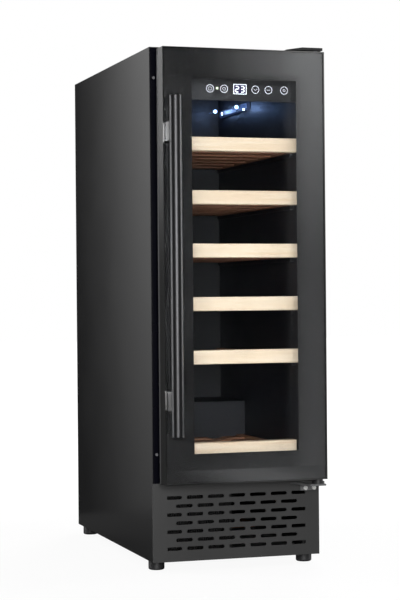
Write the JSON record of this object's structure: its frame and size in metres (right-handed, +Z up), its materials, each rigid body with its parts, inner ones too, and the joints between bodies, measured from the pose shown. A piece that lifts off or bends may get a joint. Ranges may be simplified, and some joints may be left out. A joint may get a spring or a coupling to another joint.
{
  "type": "wine cooler",
  "caption": "Slim free-standing wine cooler with a hinged glass door, bar handle, sliding wooden shelves, touch controls and a ventilated plinth.",
  "frame": {"origin": "on the floor, under the middle of the outer box, which runs from the handle's front to the cabinet's rear edge", "axes": "+Z up, -Y out of the door, +X to the right seen from the front, where the door is hinged"},
  "size_m": [0.295, 0.621, 0.8755],
  "materials": {
    "cabinet_paint": "satin",
    "galvanised_steel": "satin",
    "foam": "matte",
    "liner_plastic": "satin",
    "black_flange": "satin",
    "black_rubber": "matte",
    "black_plastic": "satin",
    "door_metal": "satin",
    "clear_glass": "gloss",
    "black_print": "gloss",
    "spacer_metal": "satin",
    "handle_metal": "satin",
    "hinge_steel": "satin",
    "zinc_screw": "satin",
    "beech": "satin",
    "slat_wood": "matte",
    "fascia_plastic": "gloss",
    "display_blue": "gloss",
    "board_green": "satin",
    "lamp_diffuser": "satin",
    "fin_aluminium": "satin",
    "compressor_body": "satin",
    "copper": "satin",
    "tray_plastic": "satin"
  },
  "bodies": {
    "cabinet": {"outer_shell": "cabinet_paint", "back_panel": "cabinet_paint", "insulation_foam": "foam", "inner_liner": "liner_plastic", "front_frame": "black_flange", "machine_bay_panel": "galvanised_steel", "base_pan": "galvanised_steel", "kick_grille": "cabinet_paint", "rear_cover": "cabinet_paint", "cabinet_screws": "zinc_screw", "shelf_runners": "liner_plastic", "evaporator_plate": "fin_aluminium", "rear_duct_cover": "black_plastic", "circulation_fan_frame": "black_plastic", "condenser_fan_frame": "black_plastic", "interior_lamp": "lamp_diffuser", "control_housing": "black_plastic", "control_fascia": "fascia_plastic", "display_module": "display_blue", "control_board": "board_green", "top_hinge_bracket": "hinge_steel", "top_hinge_cover": "black_plastic", "bottom_hinge_bracket": "hinge_steel", "hinge_riser": "black_plastic", "compressor": "compressor_body", "compressor_mounts": "black_rubber", "relay_box": "black_plastic", "condenser_coil": "compressor_body", "drip_tray": "tray_plastic", "refrigerant_pipes": "copper", "drain_tube": "tray_plastic", "power_inlet": "black_plastic", "bottom_rack_front": "beech", "bottom_rack": "slat_wood"},
    "door": {"door_frame": "door_metal", "door_inner_frame": "black_plastic", "front_glass": "clear_glass", "printed_border": "black_print", "glass_spacer": "spacer_metal", "inner_glass": "clear_glass", "door_gasket": "black_rubber", "handle_bar": "handle_metal", "handle_posts": "handle_metal", "door_bushes": "black_plastic"},
    "shelf_1": {"shelf_1_front": "beech", "shelf_1_rack": "slat_wood"},
    "shelf_2": {"shelf_2_front": "beech", "shelf_2_rack": "slat_wood"},
    "shelf_3": {"shelf_3_front": "beech", "shelf_3_rack": "slat_wood"},
    "shelf_4": {"shelf_4_front": "beech", "shelf_4_rack": "slat_wood"},
    "shelf_5": {"shelf_5_front": "beech", "shelf_5_rack": "slat_wood"},
    "circulation_fan": {"circulation_fan_blades": "black_plastic"},
    "condenser_fan": {"condenser_fan_blades": "black_plastic"},
    "foot_front_left": {"foot_front_left": "black_plastic"},
    "foot_front_right": {"foot_front_right": "black_plastic"},
    "foot_rear_left": {"foot_rear_left": "black_plastic"},
    "foot_rear_right": {"foot_rear_right": "black_plastic"}
  },
  "joints": [
    {"name": "door_hinge", "type": "hinge", "parent": "cabinet", "child": "door", "pos_m": [0.1305, -0.2525, 0.5], "axis": [0, 0, 1], "range_deg": [0, 110]},
    {"name": "shelf_1_slide", "type": "slide", "parent": "cabinet", "child": "shelf_1", "axis": [0, -1, 0], "range_m": [0, 0.02]},
    {"name": "shelf_2_slide", "type": "slide", "parent": "cabinet", "child": "shelf_2", "axis": [0, -1, 0], "range_m": [0, 0.02]},
    {"name": "shelf_3_slide", "type": "slide", "parent": "cabinet", "child": "shelf_3", "axis": [0, -1, 0], "range_m": [0, 0.02]},
    {"name": "shelf_4_slide", "type": "slide", "parent": "cabinet", "child": "shelf_4", "axis": [0, -1, 0], "range_m": [0, 0.02]},
    {"name": "shelf_5_slide", "type": "slide", "parent": "cabinet", "child": "shelf_5", "axis": [0, -1, 0], "range_m": [0, 0.02]},
    {"name": "circulation_fan_spin", "type": "hinge", "parent": "cabinet", "child": "circulation_fan", "pos_m": [0, 0.2425, 0.6], "axis": [0, 1, 0], "continuous": true},
    {"name": "condenser_fan_spin", "type": "hinge", "parent": "cabinet", "child": "condenser_fan", "pos_m": [-0.062, -0.1055, 0.0775], "axis": [0, 1, 0], "continuous": true},
    {"name": "foot_front_left_height", "type": "slide", "parent": "cabinet", "child": "foot_front_left", "axis": [0, 0, -1], "range_m": [0, 0.012]},
    {"name": "foot_front_right_height", "type": "slide", "parent": "cabinet", "child": "foot_front_right", "axis": [0, 0, -1], "range_m": [0, 0.012]},
    {"name": "foot_rear_left_height", "type": "slide", "parent": "cabinet", "child": "foot_rear_left", "axis": [0, 0, -1], "range_m": [0, 0.012]},
    {"name": "foot_rear_right_height", "type": "slide", "parent": "cabinet", "child": "foot_rear_right", "axis": [0, 0, -1], "range_m": [0, 0.012]}
  ]
}
